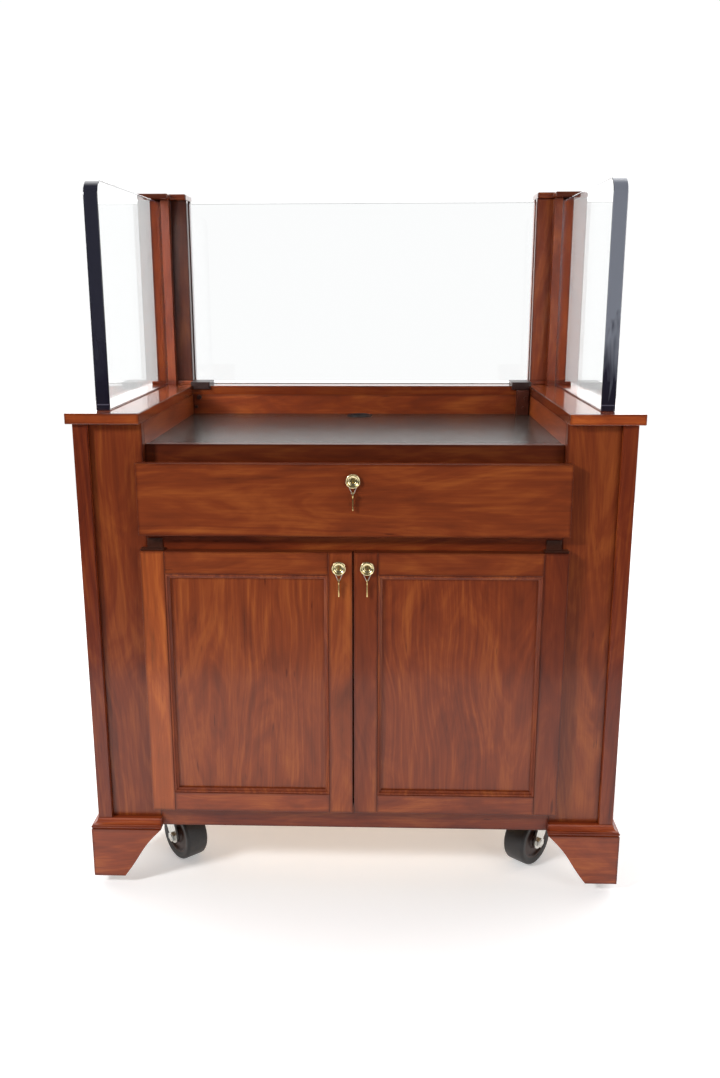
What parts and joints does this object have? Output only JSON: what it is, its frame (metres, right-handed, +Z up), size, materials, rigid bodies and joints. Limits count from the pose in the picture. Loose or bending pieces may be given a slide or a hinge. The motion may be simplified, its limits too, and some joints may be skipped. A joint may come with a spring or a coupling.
{
  "type": "mobile counter cabinet",
  "caption": "Wooden counter cabinet on casters with a recessed open-front well, clear shields in grooved posts, an overlay drawer and paired overlay doors with cam locks.",
  "frame": {"origin": "on the floor, under the middle of the whole piece", "axes": "+X to the right seen from the front, +Y to the back, +Z up; the drawer and doors face -Y"},
  "size_m": [1.004, 0.6658, 1.3185],
  "materials": {
    "cherry": "cherry stain under satin lacquer",
    "plain_wood": "clear lacquered birch",
    "laminate": "dark grey satin laminate",
    "clear_panel": "clear, polished edges",
    "brass": "polished",
    "steel": "zinc plated",
    "dark_metal": "dark bronze",
    "black_plastic": "black",
    "wheel_rubber": "black rubber tread"
  },
  "bodies": {
    "case": {"side_left": "cherry", "side_right": "cherry", "back_panel": "cherry", "bottom_panel": "cherry", "outer_stiles": "cherry", "front_boards": "cherry", "mid_rail": "cherry", "bottom_rail": "cherry", "divider": "plain_wood", "partitions": "cherry", "shelf": "plain_wood", "shelf_pins": "steel", "well_rail": "cherry", "well_back": "cherry", "well_core": "plain_wood", "well_laminate": "laminate", "grommet": "black_plastic", "well_cleat": "steel", "counter": "cherry", "post_left": "cherry", "post_right": "cherry", "post_caps": "cherry", "post_bases": "cherry", "shield_left": "clear_panel", "shield_right": "clear_panel", "shield_rear": "clear_panel", "clips": "black_plastic", "slides_outer": "steel", "drawer_keeper": "steel", "hinge_brackets": "dark_metal", "feet": "cherry", "mouldings": "cherry", "caster_plates": "steel"},
    "drawer": {"drawer_front": "cherry", "drawer_box": "plain_wood", "drawer_bottom": "plain_wood", "slides_inner": "steel", "lock_drawer": "brass"},
    "left_door": {"door_left": "cherry", "panel_left": "cherry", "leaves_left": "dark_metal", "lock_left": "brass"},
    "right_door": {"door_right": "cherry", "panel_right": "cherry", "leaves_right": "dark_metal", "lock_right": "brass"},
    "drawer_plug": {"plug_drawer": "brass"},
    "left_plug": {"plug_left": "brass"},
    "right_plug": {"plug_right": "brass"},
    "drawer_key": {"key_drawer": "brass"},
    "left_key": {"key_left": "brass"},
    "right_key": {"key_right": "brass"},
    "fork_front_left": {"fork_fl": "steel"},
    "fork_front_right": {"fork_fr": "steel"},
    "fork_rear_left": {"fork_rl": "steel"},
    "fork_rear_right": {"fork_rr": "steel"},
    "wheel_front_left": {"wheel_fl": "wheel_rubber"},
    "wheel_front_right": {"wheel_fr": "wheel_rubber"},
    "wheel_rear_left": {"wheel_rl": "wheel_rubber"},
    "wheel_rear_right": {"wheel_rr": "wheel_rubber"}
  },
  "joints": [
    {"name": "drawer_slide", "type": "slide", "parent": "case", "child": "drawer", "axis": [0, -1, 0], "range_m": [0, 0.4]},
    {"name": "left_door_hinge", "type": "hinge", "parent": "case", "child": "left_door", "pos_m": [-0.3755, -0.3116, 0.6698], "axis": [0, 0, -1], "range_deg": [0, 110]},
    {"name": "right_door_hinge", "type": "hinge", "parent": "case", "child": "right_door", "pos_m": [0.3755, -0.3116, 0.6698], "axis": [0, 0, 1], "range_deg": [0, 110]},
    {"name": "drawer_lock_turn", "type": "hinge", "parent": "drawer", "child": "drawer_plug", "pos_m": [0, -0.3216, 0.7983], "axis": [0, -1, 0], "range_deg": [0, 90]},
    {"name": "left_lock_turn", "type": "hinge", "parent": "left_door", "child": "left_plug", "pos_m": [-0.0252, -0.3216, 0.6416], "axis": [0, 1, 0], "range_deg": [0, 90]},
    {"name": "right_lock_turn", "type": "hinge", "parent": "right_door", "child": "right_plug", "pos_m": [0.0252, -0.3216, 0.6416], "axis": [0, -1, 0], "range_deg": [0, 90]},
    {"name": "drawer_key_swing", "type": "hinge", "parent": "drawer", "child": "drawer_key", "pos_m": [0, -0.3242, 0.7983], "axis": [0, 1, 0], "range_deg": [-60, 60]},
    {"name": "left_key_swing", "type": "hinge", "parent": "left_door", "child": "left_key", "pos_m": [-0.0252, -0.3242, 0.6416], "axis": [0, 1, 0], "range_deg": [-60, 60]},
    {"name": "right_key_swing", "type": "hinge", "parent": "right_door", "child": "right_key", "pos_m": [0.0252, -0.3242, 0.6416], "axis": [0, 1, 0], "range_deg": [-60, 60]},
    {"name": "front_left_swivel", "type": "hinge", "parent": "case", "child": "fork_front_left", "pos_m": [-0.366, -0.1801, 0.117], "axis": [0, 0, 1], "continuous": true},
    {"name": "front_left_roll", "type": "hinge", "parent": "fork_front_left", "child": "wheel_front_left", "pos_m": [-0.34593, -0.20239, 0.05], "axis": [0.7431, 0.6691, 0], "continuous": true},
    {"name": "front_right_swivel", "type": "hinge", "parent": "case", "child": "fork_front_right", "pos_m": [0.366, -0.1801, 0.117], "axis": [0, 0, 1], "continuous": true},
    {"name": "front_right_roll", "type": "hinge", "parent": "fork_front_right", "child": "wheel_front_right", "pos_m": [0.34593, -0.20239, 0.05], "axis": [0.7431, -0.6691, 0], "continuous": true},
    {"name": "rear_left_swivel", "type": "hinge", "parent": "case", "child": "fork_rear_left", "pos_m": [-0.366, 0.1916, 0.117], "axis": [0, 0, 1], "continuous": true},
    {"name": "rear_left_roll", "type": "hinge", "parent": "fork_rear_left", "child": "wheel_rear_left", "pos_m": [-0.34593, 0.21389, 0.05], "axis": [0.7431, -0.6691, 0], "continuous": true},
    {"name": "rear_right_swivel", "type": "hinge", "parent": "case", "child": "fork_rear_right", "pos_m": [0.366, 0.1916, 0.117], "axis": [0, 0, 1], "continuous": true},
    {"name": "rear_right_roll", "type": "hinge", "parent": "fork_rear_right", "child": "wheel_rear_right", "pos_m": [0.34593, 0.21389, 0.05], "axis": [0.7431, 0.6691, 0], "continuous": true}
  ]
}
